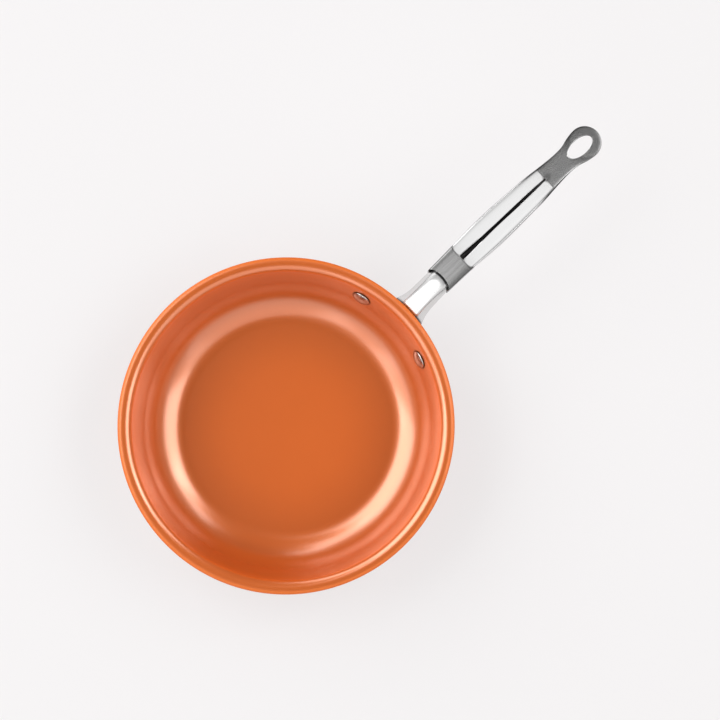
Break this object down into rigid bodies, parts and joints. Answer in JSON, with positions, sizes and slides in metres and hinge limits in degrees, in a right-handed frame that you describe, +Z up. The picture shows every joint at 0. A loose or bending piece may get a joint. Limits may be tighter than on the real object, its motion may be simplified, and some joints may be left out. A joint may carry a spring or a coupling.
{
  "type": "frying pan",
  "caption": "Round frying pan with a copper-coloured coat, rolled pouring lip, riveted steel bracket and a long hollow steel handle with a hanging eye.",
  "frame": {"origin": "centre of the base, on the surface that the pan stands on", "axes": "+Z up out of the pan, +X along the handle, away from the pan"},
  "size_m": [0.4464, 0.254, 0.0795],
  "materials": {
    "copper_coat": "satin copper-coloured ceramic coat on pressed aluminium",
    "disc_steel": "turned stainless plate",
    "bracket_steel": "polished stainless",
    "rivet_steel": "polished stainless",
    "handle_steel": "polished stainless, lightly brushed lengthwise"
  },
  "bodies": {
    "root": {"pan_body": "copper_coat", "induction_disc": "disc_steel", "handle_bracket": "bracket_steel", "rivet_left": "rivet_steel", "rivet_right": "rivet_steel", "handle_top_shell": "handle_steel", "handle_bottom_shell": "handle_steel"}
  },
  "joints": []
}
